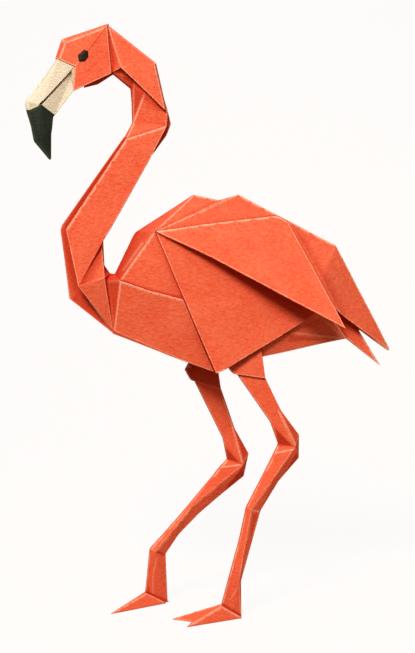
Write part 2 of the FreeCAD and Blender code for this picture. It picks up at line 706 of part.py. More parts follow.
# ------------------------------------------------------------------ beak and eyes
def beak():
    """Cream folded beak, tucked into the head, and the black tip that is tucked into it."""
    inset = doubled - seat
    mouth = at(cheek, cheek_half - inset)
    top = on_plane(face, crown, brow, cheek, -inset)
    top_ridge = go(face, 0.4, 167.5)
    low = at(chin, -chin.y - inset)
    slit = go(cheek, beak_length, beak_angle, beak_half)
    bill = go(slit, bill_depth - 1.5, 166.0, beak_half / 2)
    bill_ridge = go(slit, bill_depth, 171.0)
    nick = go(slit, 5.0, -153.0, beak_half / 2)
    nick_ridge = go(slit, 6.0, -159.5)
    jaw = go(slit, jaw_depth, -38.0, beak_half / 2)
    inwards = go(Vector(0, 0, 0), beak_root, 45.0)
    root = [at(top + inwards, 1.9), at(mouth + inwards, 3.2), at(low + inwards, 3.4)]
    base = pressed([
        (top, mouth, slit, bill), (mouth, low, jaw, slit), (bill, slit, nick),
        (top_ridge, top, bill, bill_ridge), (bill_ridge, bill, nick, nick_ridge),
        (root[0], root[1], mouth, top), (root[1], root[2], low, mouth),
        (root[0], top, top_ridge)])
    for wedge in both(slit_cut(slit)):
        base = base.cut(wedge)
    crest = go(slit, 13.5, -92.0, beak_half / 2)
    crest_top = go(slit, 6.5, -120.0, 1.4)
    front_high = go(slit, 9.5, -113.0)
    front_low = go(slit, 14.5, -101.0)
    rear_high = go(slit, 7.0, -44.5, 0.8)
    rear_low = go(slit, 12.5, -69.5)
    point = go(slit, tip_length, tip_angle)
    tip = pressed([
        (nick, slit, crest, crest_top), (slit, jaw, rear_high, rear_low, point, crest),
        (crest_top, front_low, front_high, nick_ridge, nick),
        (crest_top, crest, front_low), (crest, point, front_low)])
    tongue = plate([go(slit, 3.0, -105.0), go(slit, 4.0, -60.0), go(slit, 3.3, 12.0),
                    go(slit, 3.6, 84.0)], tongue_half)
    return base.cut(tongue), tip.fuse(tongue).removeSplitter()


def slit_cut(slit):
    """The narrow gap between the upper and lower half of the beak."""
    end = go(slit, 1.0, beak_angle)
    outline = [go(cheek, 0.6, beak_angle + 180.0), go(end, slit_width / 2, beak_angle - 90.0),
               go(end, slit_width / 2, beak_angle + 90.0)]
    corners = [Vector(v.x, -cheek_half, v.z) for v in outline]
    return Part.Face(Part.makePolygon(corners + [corners[0]])).extrude(Vector(0, cheek_half - 2.2, 0))


def eye():
    """A faceted patch of dark paper, glued over the crease of the cheek."""
    middle = go(cheek, eye_place, cheek_angle + 180.0)
    crease = cheek_angle + 180.0

    def ring(share, out):
        front = (crown, brow, cheek, out)
        rear = (crown, cheek, chin, out)
        corners = []
        for reach, angle, plane in ((1.0, crease, front), (1.0, 80.0, front), (0.77, 168.0, front),
                                    (1.0, crease + 180.0, front), (0.74, -71.0, rear),
                                    (0.79, -5.0, rear), (1.0, 40.0, rear)):
            place = go(middle, reach * share * eye_reach, angle)
            corners.append(on_plane(place, *plane))
        return corners

    low, high = ring(1.0, 0.0), ring(0.7, eye_height)
    facets = [tuple(high[:4]), (high[3], high[4], high[5], high[6], high[0])]
    for i in range(7):
        j = (i + 1) % 7
        facets.append((low[i], low[j], high[j], high[i]))
    facets += [tuple(low[:4]), (low[3], low[4], low[5], low[6], low[0])]
    return closed_solid(facets)


def glue(angle, low, high):
    """A dab of glue near the shoulder that joins two layers."""
    near, far = glue_place - glue_size / 2, glue_place + glue_size / 2
    outline = [go(shoulder, near, angle - 8.0), go(shoulder, far, angle - 6.0),
               go(shoulder, far, angle + 6.0), go(shoulder, near, angle + 8.0)]
    return plate(outline, (high - low) / 2, -(high + low) / 2)


def fused(shapes):
    whole = shapes[0].multiFuse(shapes[1:])
    return whole.removeSplitter()


def save(name, shape):
    shape.exportStep("parts/" + name + ".step")


def main():
    os.makedirs("parts", exist_ok=True)
    pieces = {}
    pieces["left_leg"], left_sleeve, ground = build_left_leg()
    pieces["right_leg"], right_sleeve = build_right_leg(ground)
    sheet = [spine(), head_hood(), nape_hood(), loop_lining(), straight_neck(), breast_folds(),
             body_walls(), back_and_tail(), lower_tail()]
    sheet += both(upper_wing()) + both(lower_wing())
    sheet += both(glue(lower_wing_angle + 20.0, shoulder_half - 0.5, shoulder_half + 0.6))
    sheet += both(glue(upper_wing_angle + 4.0, shoulder_half + 0.5, shoulder_half + 1.4))
    sheet += [left_sleeve, right_sleeve]
    body = fused(sheet)
    pieces["beak_base"], pieces["beak_tip"] = beak()
    pieces["left_eye"], pieces["right_eye"] = both(eye())
    for tucked in (pieces["left_leg"], pieces["right_leg"], pieces["beak_base"]):
        body = body.cut(tucked)
    pieces["body_sheet"] = body.removeSplitter()
    box = Part.makeCompound(list(pieces.values())).BoundBox
    to_origin = Vector(-box.Center.x, -box.Center.y, -box.ZMin)
    for name, shape in pieces.items():
        shape.translate(to_origin)
        save(name, shape)


if __name__ == "__main__":
    main()
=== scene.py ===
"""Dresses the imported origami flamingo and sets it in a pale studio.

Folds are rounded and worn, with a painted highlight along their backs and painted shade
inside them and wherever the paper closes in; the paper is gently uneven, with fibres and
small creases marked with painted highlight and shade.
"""
import math
from functools import partial

import bmesh
import bpy
import numpy as np
from bpy.props import FloatProperty, FloatVectorProperty, PointerProperty
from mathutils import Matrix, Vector


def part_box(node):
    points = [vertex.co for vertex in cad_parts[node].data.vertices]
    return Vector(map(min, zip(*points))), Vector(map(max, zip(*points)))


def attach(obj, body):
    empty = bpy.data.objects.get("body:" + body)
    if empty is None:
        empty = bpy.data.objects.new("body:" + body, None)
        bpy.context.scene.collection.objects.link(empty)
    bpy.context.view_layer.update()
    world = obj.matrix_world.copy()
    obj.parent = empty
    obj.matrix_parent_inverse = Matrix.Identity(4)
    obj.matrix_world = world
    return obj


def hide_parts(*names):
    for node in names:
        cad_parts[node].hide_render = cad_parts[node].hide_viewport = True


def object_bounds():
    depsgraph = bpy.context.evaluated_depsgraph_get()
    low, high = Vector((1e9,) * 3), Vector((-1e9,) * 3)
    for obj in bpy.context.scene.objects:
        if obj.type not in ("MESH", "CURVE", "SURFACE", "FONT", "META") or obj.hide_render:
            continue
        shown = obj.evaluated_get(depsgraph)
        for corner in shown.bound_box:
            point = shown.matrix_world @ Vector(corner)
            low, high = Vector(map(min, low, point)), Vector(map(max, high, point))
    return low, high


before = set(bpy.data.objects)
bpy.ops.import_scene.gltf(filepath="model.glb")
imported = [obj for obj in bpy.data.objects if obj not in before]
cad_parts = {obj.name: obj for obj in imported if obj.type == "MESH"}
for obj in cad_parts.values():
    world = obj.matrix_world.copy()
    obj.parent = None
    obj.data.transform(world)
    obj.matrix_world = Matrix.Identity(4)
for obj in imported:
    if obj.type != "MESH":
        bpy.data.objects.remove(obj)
cad_low, cad_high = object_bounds()

bl_info = {
    "name": "Origami Flamingo",
    "version": (1, 0, 0),
    "blender": (4, 5, 0),
    "location": "3D View > Sidebar > Flamingo",
    "description": "Finishes a folded paper flamingo and sets it in a studio",
    "category": "Object",
}

HEIGHT = cad_high.z - cad_low.z
MIDDLE = (cad_low + cad_high) / 2
MM = 1000                        # millimetres in a metre

# Lengths in metres.
SAME_PLACE = 2e-6                # two corners closer than this are one
PLY = 0.0003                     # one layer of paper
PAINTED_SHADE_REACH = 0.060                  # how near a piece's own paper darkens its surface with painted shade
FOLD_MARK_REACH = 0.0010              # from a fold to where its marks end: wear and painted highlight on its back, painted shade inside it
NO_FOLD = 0.01                   # written as the distance where no fold is near
PRESS_DEPTH = 0.0003             # how deep a hollow of strength 1 is pressed in

# Sines of the angle by which the paper turns at an edge.
FAINT_FOLD_TURN = 0.08                 # up to here a fold's wear and painted light are faintest
FOLD_TURN = 0.13                 # from here an edge of a rounding counts as a fold
CREST_TURN = 0.18                # from here a rounding itself takes wear and painted light

# Lengths in millimetres, for the small creases.
PRESS_SLOPE = 1.0                # over which a pressed hollow slopes in from its sides
LINE_TAPER = 0.5                 # over which a line begins and ends
FADE_EDGE = 0.25                 # over which a hollow that fades begins at its sides

# Three more colours of each paper: deep among its fibres, and as painted shade inside a fold;
# worn along the back of a fold, where it also stands for a painted highlight; and a painted
# shade colour where the paper's own folds close round it.
CORAL_SHADES = (0.84, 0.070, 0.020), (1.0, 0.52, 0.34), (0.52, 0.024, 0.004)
LEG_SHADES = (0.84, 0.085, 0.028), (1.0, 0.48, 0.30), (0.50, 0.022, 0.003)
CREAM_SHADES = (0.72, 0.60, 0.40), (0.95, 0.9, 0.76), (0.42, 0.28, 0.14)
BLACK_SHADES = (0.008, 0.011, 0.005), (0.05, 0.07, 0.035), (0.004, 0.006, 0.003)
EYE_SHADES = (0.008, 0.006, 0.004), (0.09, 0.05, 0.025), (0.004, 0.003, 0.002)

# Small creases in the side view, in millimetres along X and Z. A line has two ends, a strength
# (a painted highlight above 0, painted shade below) and a half width. A hollow has three corners,
# a strength and an edge width; it is pressed in and darkened with painted shade. With a width
# below 0 it is only coloured: a painted shadow that fades away over it from its first side.
BODY_LINES = (
    ((-42.4, 236.4), (-49.5, 227.1), -0.6, 0.4),
    ((-45.1, 152.1), (-54.0, 136.7), -0.9, 0.5),
    ((-32.0, 198.9), (-27.5, 211.2), 0.9, 0.5),
    ((-39.6, 118.1), (-37.8, 138.8), 0.65, 0.5),
    ((-36.9, 142.1), (-29.2, 153.8), 0.7, 0.5),
    ((-58.8, 155.9), (-55.1, 133.4), -0.8, 0.9),
    ((29.5, 117.1), (52.9, 113.3), 0.5, 0.5),
    ((42.8, 122.6), (52.8, 113.9), 0.35, 0.4),
)
BODY_HOLLOWS = (
    ((-32.0, 199.3), (-27.6, 210.9), (-32.4, 215.5), 0.75, 1.0),
    ((-36.7, 220.4), (-19.1, 204.3), (-32.0, 204.0), 0.9, -4.0),
    ((-42.8, 142.3), (-38.0, 138.8), (-39.8, 118.0), 0.7, 0.5),
    ((-30.6, 156.4), (-26.2, 158.1), (-28.9, 153.8), 0.5, 0.5),
    ((-30.6, 154.3), (-29.3, 153.4), (-38.0, 140.9), 0.6, 1.0),
    ((29.5, 116.4), (52.9, 112.7), (27.6, 112.8), 0.6, 1.0),
    ((-57.1, 131.0), (-53.6, 135.4), (-42.2, 118.8), 0.75, 0.7),
    ((-54.0, 136.7), (-45.1, 152.1), (-44.0, 140.4), 0.9, -4.5),
    ((31.3, 160.4), (52.8, 120.6), (56.0, 150.0), 0.5, -4.0),
)
BEAK_LINES = (
    ((-54.8, 220.1), (-66.7, 206.7), 0.7, 0.35),
)
BEAK_HOLLOWS = (
    ((-72.6, 207.9), (-68.0, 206.9), (-72.2, 204.6), 0.5, 0.5),
)
TIP_LINES = (
    ((-71.3, 203.9), (-68.2, 192.4), -0.9, 0.5),
    ((-72.4, 203.5), (-70.0, 193.2), 0.5, 0.5),
    ((-69.7, 192.8), (-64.3, 186.2), 0.5, 0.5),
)
TIP_HOLLOWS = (
    ((-68.2, 193.6), (-63.8, 197.8), (-64.3, 186.2), 0.7, 0.4),
)
LEG_LINES = (
    ((9.3, 79.0), (14.1, 61.1), 0.7, 0.5),
    ((5.3, 58.8), (14.1, 60.0), 0.9, 0.5),
    ((25.6, 85.1), (32.3, 71.0), 0.7, 0.5),
    ((24.2, 68.3), (31.8, 69.9), 0.9, 0.5),
    ((-21.0, 23.6), (-17.1, 21.4), -0.9, 0.9),
    ((-20.6, 20.9), (-22.0, 12.9), 0.5, 0.4),
    ((-22.0, 12.9), (-21.9, 3.6), 0.5, 0.4),
    ((-24.8, 5.8), (-15.2, 0.7), -0.9, 0.7),
    ((2.9, 6.5), (11.1, 0.8), -0.9, 0.7),
    ((9.1, 12.9), (5.6, 7.5), 0.4, 0.4),
    ((14.1, 45.3), (18.0, 44.3), 0.8, 0.4),
)
LEG_HOLLOWS = (
    ((9.8, 78.9), (16.9, 64.9), (14.6, 61.1), 0.6, 0.7),
    ((6.8, 68.6), (14.1, 60.2), (7.8, 61.7), 0.85, 0.7),
    ((14.6, 59.8), (15.9, 54.6), (5.9, 48.1), 0.75, 0.7),
    ((26.0, 84.7), (33.8, 75.6), (32.8, 70.9), 0.5, 0.7),
    ((23.3, 79.4), (31.8, 70.7), (24.8, 70.6), 0.85, 0.7),
    ((32.8, 69.2), (34.0, 65.3), (26.0, 57.1), 0.7, 0.7),
    ((14.5, 44.5), (17.6, 43.3), (14.1, 30.5), 0.5, 0.7),
    ((-24.1, 12.8), (-22.4, 3.4), (-24.8, 5.3), 0.7, 0.7),
)


# ---------------------------------------------------------------- sizes and colours to change

class FoldSettings(bpy.types.PropertyGroup):
    """How the paper takes its folds."""

    fold_radius: FloatProperty(
        name="Fold radius", description="How round the paper is where it folds",
        default=0.00026, min=0.0, unit="LENGTH")
    ripple_height: FloatProperty(
        name="Ripple height", description="How far hand-folded paper strays from flat",
        default=0.00022, min=0.0, unit="LENGTH")
    ripple_length: FloatProperty(
        name="Ripple length", description="Distance from one swell of the paper to the next",
        default=0.034, min=0.001, unit="LENGTH")
    step: FloatProperty(
        name="Mesh step", description="Longest edge of the finished mesh",
        default=0.006, min=0.0005, unit="LENGTH")


class PaperSettings(bpy.types.PropertyGroup):
    """Colours of the sheets."""

    coral: FloatVectorProperty(
        name="Coral", description="Body, neck and head sheet",
        default=(0.94, 0.178, 0.082), size=3, min=0, max=1, subtype="COLOR")
    coral_legs: FloatVectorProperty(
        name="Leg coral", description="Leg strips, a little deeper than the body",
        default=(0.92, 0.150, 0.066), size=3, min=0, max=1, subtype="COLOR")
    cream: FloatVectorProperty(
        name="Cream", description="Base of the beak",
        default=(0.82, 0.735, 0.57), size=3, min=0, max=1, subtype="COLOR")
    black: FloatVectorProperty(
        name="Black", description="Tip of the beak, a greenish black",
        default=(0.014, 0.019, 0.008), size=3, min=0, max=1, subtype="COLOR")
    eye: FloatVectorProperty(
        name="Eye", description="The glued eyes, a brownish black",
        default=(0.020, 0.014, 0.007), size=3, min=0, max=1, subtype="COLOR")


class StageSettings(bpy.types.PropertyGroup):
    """Camera, lamps and floor."""

    azimuth: FloatProperty(
        name="Azimuth", description="Camera's turn round the bird, from its left side",
        default=math.radians(-10), subtype="ANGLE")
    elevation: FloatProperty(
        name="Elevation", description="Camera's height above level",
        default=math.radians(7), subtype="ANGLE")
    distance: FloatProperty(
        name="Distance", description="Camera to the middle of the bird",
        default=0.650, min=0.1, unit="LENGTH")
    side_step: FloatProperty(
        name="Side step", description="How far ahead of the bird's middle the camera aims",
        default=0.00215, unit="LENGTH")
    lens: FloatProperty(
        name="Lens", description="Focal length for a 36 mm long side, in millimetres",
        default=89.6, min=1)
    key_power: FloatProperty(
        name="Key lamp", description="Power of the large soft lamp at the upper left, in watts",
        default=31.0, min=0, subtype="POWER")
    fill_power: FloatProperty(
        name="Fill lamp", description="Power of the soft lamp at the right, in watts",
        default=0.8, min=0, subtype="POWER")
    back_power: FloatProperty(
        name="Back lamp",
        description="Power of the soft lamp behind, which lights the bird's right side, in watts",
        default=13.0, min=0, subtype="POWER")
    floor: FloatVectorProperty(
        name="Floor", description="Colour of the floor and backdrop",
        default=(0.28, 0.19, 0.13), size=3, min=0, max=1, subtype="COLOR")


# ---------------------------------------------------------------- small creases

def side_factors(start, end):
    """Factors of (x, z, 1) for the distance to the left of a line, and for the way along it."""
    run, rise = np.subtract(end, start) / math.dist(start, end)
    return ((-rise, run, rise * start[0] - run * start[1]),
            (run, rise, -run * start[0] - rise * start[1]))


def inward_factors(corners):
    """Factors of (x, z, 1) for the distances inwards from the three sides of a triangle."""
    found = []
    for index in range(3):
        start, end, other = corners[index], corners[(index + 1) % 3], corners[(index + 2) % 3]
        across = np.array(side_factors(start, end)[0])
        found.append(across * np.sign(across @ (other[0], other[1], 1.0)))
    return found


def pressed(points, hollows):
    """Sinks the hollows towards the middle plane.

    Each goes in by PRESS_DEPTH times its strength, sloping from its sides over PRESS_SLOPE.
    Where hollows overlap, the deepest counts.
    """
    flat = np.column_stack([points[:, 0] * MM, points[:, 2] * MM, np.ones(len(points))])
    sunk = np.zeros(len(points))
    for *corners, strength, edge in hollows:
        if edge > 0:
            least = np.min([flat @ factors for factors in inward_factors(corners)], axis=0)
            sunk = np.maximum(sunk, np.clip(least / PRESS_SLOPE, 0, 1) * strength)
    moved = points.copy()
    moved[:, 1] -= np.sign(points[:, 1]) * np.minimum(PRESS_DEPTH * sunk, np.abs(points[:, 1]))
    return moved


# ---------------------------------------------------------------- shader helpers

def place_node(tree, kind, at, inputs=None, **properties):
    """Adds one shader node, sets its properties and plain inputs, and returns it."""
    node = tree.nodes.new(kind)
    node.location = (at[0] * 200, at[1] * 200)
    for name, value in properties.items():
        setattr(node, name, value)
    for name, value in (inputs or {}).items():
        node.inputs[name].default_value = value
    return node


def feed(tree, socket, value):
    """Links a socket to another one, or gives it a plain value."""
    if isinstance(value, bpy.types.NodeSocket):
        tree.links.new(value, socket)
    else:
        socket.default_value = value


def mix_colour(tree, at, share, low, high):
    """Mixes two colours; each of share, low and high is a socket or a plain value.

    In a Mix node for colours, sockets 0, 6 and 7 are Factor, A and B, and output 2 is Result.
    """
    node = place_node(tree, "ShaderNodeMix", at, data_type="RGBA")
    for index, value in ((0, share), (6, low), (7, high)):
        feed(tree, node.inputs[index], value)
    return node.outputs[2]


def maths(tree, at, operation, *values):
    """One maths node on sockets or plain numbers."""
    node = place_node(tree, "ShaderNodeMath", at, operation=operation)
    for index, value in enumerate(values):
        feed(tree, node.inputs[index], value)
    return node.outputs[0]


def noise(tree, at, where, **inputs):
    """A noise node read at the given places."""
    node = place_node(tree, "ShaderNodeTexNoise", at, inputs)
    tree.links.new(where, node.inputs["Vector"])
    return node


def bare_tree(block):
    """The node tree of a material or world, emptied."""
    block.use_nodes = True
    block.node_tree.nodes.clear()
    return block.node_tree


def plainly_seen(tree):
    """1 for what the camera sees, also in glints and through glass, and 0 for other light."""
    ray = place_node(tree, "ShaderNodeLightPath", (-2, 1))
    seen = maths(tree, (-1, 1), "MAXIMUM", ray.outputs["Is Camera Ray"],
                 ray.outputs["Is Glossy Ray"])
    return maths(tree, (0, 1), "MAXIMUM", seen, ray.outputs["Is Transmission Ray"])


def finish_blend(tree, share, first, second, kind):
    """Leads a blend of two shaders, the first for a share of 0, into the output of this kind."""
    blend = place_node(tree, "ShaderNodeMixShader", (1, 0))
    for index, socket in enumerate((share, first.outputs[0], second.outputs[0])):
        tree.links.new(socket, blend.inputs[index])
    out = place_node(tree, kind, (2, 0))
    tree.links.new(blend.outputs[0], out.inputs["Surface"])


def new_group(name, sockets):
    """An empty shader group with its sockets, as (tree, input node, output node)."""
    tree = bpy.data.node_groups.new(name, "ShaderNodeTree")
    for label, direction, kind, default in sockets:
        socket = tree.interface.new_socket(label, in_out=direction, socket_type=kind)
        if default is not None:
            socket.default_value = default
    return tree, tree.nodes.new("NodeGroupInput"), tree.nodes.new("NodeGroupOutput")


def shared_group(name, make):
    """A group that several materials use, made the first time it is asked for."""
    return bpy.data.node_groups.get(name) or make()


def fibre_group():
    """Matted fibres: fine streaks along the sheet, mottling, and a few faint wrinkles.

    A wrinkle runs where a broad noise crosses its middle value, 1 - 40 |noise - 0.5|, and is
    kept only where the mottling is above 0.53.
    """
    tree, given, out = new_group("Paper Fibres", (
        ("Position", "INPUT", "NodeSocketVector", None),
        ("Grain", "INPUT", "NodeSocketFloat", 0.0016),
        ("Height", "OUTPUT", "NodeSocketFloat", None),
        ("Tone", "OUTPUT", "NodeSocketFloat", None),
    ))
    put = partial(maths, tree)
    where = given.outputs["Position"]
    stretch = place_node(tree, "ShaderNodeMapping", (1, 0), {"Scale": (0.4, 0.4, 1.0)})
    tree.links.new(where, stretch.inputs["Vector"])
    streaks = noise(tree, (2, 1), stretch.outputs["Vector"],
                    Detail=3.0, Roughness=0.6, Distortion=0.4)
    tree.links.new(put((0, 2), "DIVIDE", 1.0, given.outputs["Grain"]), streaks.inputs["Scale"])
    mottle = noise(tree, (2, 0), where, Scale=110.0, Detail=4.0, Roughness=0.6)
    broad = noise(tree, (2, -1), where, Scale=60.0, Detail=1.0, Distortion=0.8)

    off_middle = put((3, -1), "ABSOLUTE", put((3, -1), "SUBTRACT", broad.outputs["Fac"], 0.5))
    slope = put((4, -1), "MINIMUM", put((4, -1), "MULTIPLY", off_middle, 40.0), 1.0)
    kept = put((4, -2), "GREATER_THAN", mottle.outputs["Fac"], 0.53)
    wrinkle = put((5, -1), "MULTIPLY", put((4, -1), "SUBTRACT", 1.0, slope), kept)
    height = put((5, 1), "ADD", streaks.outputs["Fac"],
                 put((5, 0), "MULTIPLY", mottle.outputs["Fac"], 0.8))
    height = put((6, 0), "ADD", height, put((5, -1), "MULTIPLY", wrinkle, 0.25))
    fine = put((5, 2), "MULTIPLY_ADD", streaks.outputs["Fac"], 1.5, -0.45)
    tone = put((6, 1), "ADD", fine, put((5, 3), "MULTIPLY", mottle.outputs["Fac"], 0.5))
    tree.links.new(height, out.inputs["Height"])
    tree.links.new(tone, out.inputs["Tone"])
    return tree


def crease_group(name, lines, hollows):
    """Masks of the small creases, set out in the side view: a painted highlight along a fold,
    painted shade along a crease or in a hollow, and a painted shadow beside an overlapping edge.

    A line's mask is 1 - distance / half width, tapered at both ends. A hollow's mask is the
    least distance inwards from its sides over its edge width, or, where it fades, 1 - distance
    from its first side over that width. Each is kept within 0 and 1 and taken times its
    strength, and where creases meet, the strongest counts.
    """
    tree, given, out = new_group(name, (
        ("Position", "INPUT", "NodeSocketVector", None),
        ("Painted Highlight", "OUTPUT", "NodeSocketFloat", None),
        ("Painted Crease Shade", "OUTPUT", "NodeSocketFloat", None),
    ))
    put = partial(maths, tree)
    split = place_node(tree, "ShaderNodeSeparateXYZ", (0, 0))
    tree.links.new(given.outputs["Position"], split.inputs[0])

    def reading(row, factors):
        """factors . (x, z, 1), with x and z in millimetres."""
        part = put((1, row), "MULTIPLY_ADD", split.outputs["X"], MM * factors[0], factors[2])
        return put((2, row), "MULTIPLY_ADD", split.outputs["Z"], MM * factors[1], part)

    def clamped(row, value):
        """The value kept within 0 and 1."""
        return put((4, row), "MINIMUM", put((4, row), "MAXIMUM", value, 0.0), 1.0)

    def line_mask(row, start, end, width):
        """1 along a line, 0 from half its width on and at its ends."""
        across, along = side_factors(start, end)
        gone = reading(row, along)
        left = put((3, row), "SUBTRACT", math.dist(start, end), gone)
        ends = put((3, row), "MULTIPLY", 1 / LINE_TAPER, put((3, row), "MINIMUM", gone, left))
        off = put((3, row), "ABSOLUTE", reading(row, across))
        near = put((3, row), "MULTIPLY_ADD", off, -1 / width, 1.0)
        return put((5, row), "MULTIPLY", clamped(row, near), clamped(row, ends))

    def hollow_mask(row, corners, edge):
        """1 inside a triangle, or fading from its first side inwards, and 0 outside it."""
        first, second, third = (reading(row, factors) for factors in inward_factors(corners))
        least = put((3, row), "MINIMUM", first, put((3, row), "MINIMUM", second, third))
        if edge > 0:
            return clamped(row, put((3, row), "DIVIDE", least, edge))
        fade = put((3, row), "MULTIPLY_ADD", first, 1 / edge, 1.0)
        inside = put((3, row), "MULTIPLY", least, 1 / FADE_EDGE)
        return put((5, row), "MULTIPLY", clamped(row, fade), clamped(row, inside))

    masks = {"Painted Highlight": [], "Painted Crease Shade": []}
    for row, (start, end, strength, width) in enumerate(lines):
        masks["Painted Highlight" if strength > 0 else "Painted Crease Shade"].append(
            put((6, row), "MULTIPLY", line_mask(row, start, end, width), abs(strength)))
    for row, (*corners, strength, edge) in enumerate(hollows, len(lines)):
        masks["Painted Crease Shade"].append(
            put((6, row), "MULTIPLY", hollow_mask(row, corners, edge), strength))
    for label, values in masks.items():
        strongest = values[0]
        for value in values[1:]:
            strongest = put((7, 0), "MAXIMUM", strongest, value)
        tree.links.new(strongest, out.inputs[label])
    return tree


def fold_wear_and_painted_light_group():
    """Paper colour that turns paler along the back of a fold, as wear with a painted highlight,
    and deeper along the inside of one, as painted shade.

    Near a fold, the share is (1 - distance / reach) to the power 0.9; inside a fold the reach is
    1.4 times that on its back. The painted shade colour comes in as 2.4 times (0.95 - ambient
    occlusion), up to 0.9, where the paper's own folds close round it, and no paper is worn where
    it does. The small creases' painted highlights join the worn colour and their painted shade
    joins the painted shade colour. Wear scales the worn colour with its highlight and the shade
    inside folds.
    """
    tree, given, out = new_group("Fold Wear and Painted Light", (
        ("Paper", "INPUT", "NodeSocketColor", None),
        ("Worn and Highlight", "INPUT", "NodeSocketColor", None),
        ("Deep", "INPUT", "NodeSocketColor", None),
        ("Painted Shade", "INPUT", "NodeSocketColor", None),
        ("Tone", "INPUT", "NodeSocketFloat", 0.5),
        ("Wear", "INPUT", "NodeSocketFloat", 0.6),
        ("Painted Highlight", "INPUT", "NodeSocketFloat", 0.0),
        ("Painted Crease Shade", "INPUT", "NodeSocketFloat", 0.0),
        ("Colour", "OUTPUT", "NodeSocketColor", None),
    ))
    put = partial(maths, tree)
    near = {}
    for row, name, reach in ((2, "backs", FOLD_MARK_REACH), (3, "insides", 1.4 * FOLD_MARK_REACH)):
        gaps = place_node(tree, "ShaderNodeAttribute", (0, row), attribute_name=name)
        split = place_node(tree, "ShaderNodeSeparateXYZ", (1, row))
        tree.links.new(gaps.outputs["Vector"], split.inputs[0])
        least = put((2, row), "MINIMUM", split.outputs[0],
                    put((2, row), "MINIMUM", split.outputs[1], split.outputs[2]))
        share = put((3, row), "MULTIPLY_ADD", least, -1 / reach, 1.0)
        near[name] = put((4, row), "POWER", put((3, row), "MAXIMUM", share, 0.0), 0.9)

    # painted shade: the share of the painted shade colour, from how closely the paper's own folds
    # close round a place
    shelter = place_node(tree, "ShaderNodeAmbientOcclusion", (0, -1), {"Distance": PAINTED_SHADE_REACH},
                         samples=12, only_local=True)
    closed = put((1, -1), "MULTIPLY_ADD", shelter.outputs["AO"], -2.4, 2.4 * 0.95)
    closed = put((2, -1), "MINIMUM", put((2, -1), "MAXIMUM", closed, 0.0), 0.9)
    bare = put((5, -1), "SUBTRACT", 1.0, closed)
    # backs: the worn colour along outward folds, with its painted highlight; pale: the painted
    # highlight of the small creases; insides: painted shade along inward folds
    uneven = put((5, 2), "MULTIPLY_ADD", given.outputs["Tone"], 0.7, 0.65)
    back_mark_share = put((6, 2), "MULTIPLY", given.outputs["Wear"], bare)
    backs = put((6, 2), "MULTIPLY", put((6, 2), "MULTIPLY", near["backs"], uneven), back_mark_share)
    pale = put((6, 1), "MULTIPLY", given.outputs["Painted Highlight"], uneven)
    insides = put((6, 3), "MULTIPLY", near["insides"], given.outputs["Wear"])
    fibres = put((2, 0), "MULTIPLY_ADD", given.outputs["Tone"], 1.6, -0.2)
    colour = mix_colour(tree, (3, 0), fibres, given.outputs["Deep"], given.outputs["Paper"])
    # mix in the worn colour with its painted highlights, the deep colour as painted shade inside
    # folds, and the painted shade colour where folds close in and where the small creases are
    # shaded
    for column, share, towards in (
            (4, put((7, 2), "MAXIMUM", backs, pale), "Worn and Highlight"),
            (8, insides, "Deep"),
            (9, put((7, -1), "MAXIMUM", closed, given.outputs["Painted Crease Shade"]), "Painted Shade")):
        colour = mix_colour(tree, (column, 0), share, colour, given.outputs[towards])
    tree.links.new(colour, out.inputs["Colour"])
    return tree


def paper_material(name, colour, shades, wear=0.95, grain=0.0006, relief=0.0003,
                   roughness=0.72, speckle=0.10, creases=None):
    """Craft paper: fibres in colour and relief, worn folds with painted highlights, painted shade
    inside folds and where they close in, and a dry surface with a faint sheen.

    The shades are its deep, worn and painted shade colours, and creases are its small lines and
    hollows of painted highlight and shade. wear sets how strongly the folds take the worn colour
    with its painted highlight and the painted shade inside them.
    """
    material = bpy.data.materials.new(name)
    tree = bare_tree(material)
    link = tree.links.new
    where = place_node(tree, "ShaderNodeTexCoord", (-4, 0)).outputs["Object"]
    fibres = place_node(tree, "ShaderNodeGroup", (-3, 0), {"Grain": grain},
                        node_tree=shared_group("Paper Fibres", fibre_group))
    link(where, fibres.inputs["Position"])
    folds = place_node(tree, "ShaderNodeGroup", (-2, 1), {"Wear": wear},
                       node_tree=shared_group("Fold Wear and Painted Light", fold_wear_and_painted_light_group))
    for label, value in zip(("Paper", "Deep", "Worn and Highlight", "Painted Shade"), (colour, *shades)):
        folds.inputs[label].default_value = (*value, 1.0)
    link(fibres.outputs["Tone"], folds.inputs["Tone"])
    # the small creases: painted highlights and painted shade
    if creases:
        small = place_node(tree, "ShaderNodeGroup", (-3, 1),
                           node_tree=crease_group(name + " Creases", *creases))
        link(where, small.inputs["Position"])
        for label in ("Painted Highlight", "Painted Crease Shade"):
            link(small.outputs[label], folds.inputs[label])
    bump = place_node(tree, "ShaderNodeBump", (-2, -1), {"Strength": 0.8, "Distance": relief})
    link(fibres.outputs["Height"], bump.inputs["Height"])
    surface = place_node(tree, "ShaderNodeBsdfPrincipled", (0, 0),
                         {"IOR": 1.45, "Specular IOR Level": speckle})
    link(folds.outputs["Colour"], surface.inputs["Base Color"])
    link(maths(tree, (-1, -1), "MULTIPLY_ADD", fibres.outputs["Tone"], 0.2, roughness - 0.1),
         surface.inputs["Roughness"])
    link(bump.outputs["Normal"], surface.inputs["Normal"])
    finish = place_node(tree, "ShaderNodeOutputMaterial", (2, 0))
    link(surface.outputs["BSDF"], finish.inputs["Surface"])
    return material


# ---------------------------------------------------------------- paper surfaces

def vertex_points(mesh):
    """Places of all vertices as one numpy array."""
    places = np.empty(len(mesh.vertices) * 3, np.float32)
    mesh.vertices.foreach_get("co", places)
    return places.reshape(-1, 3).astype(float)


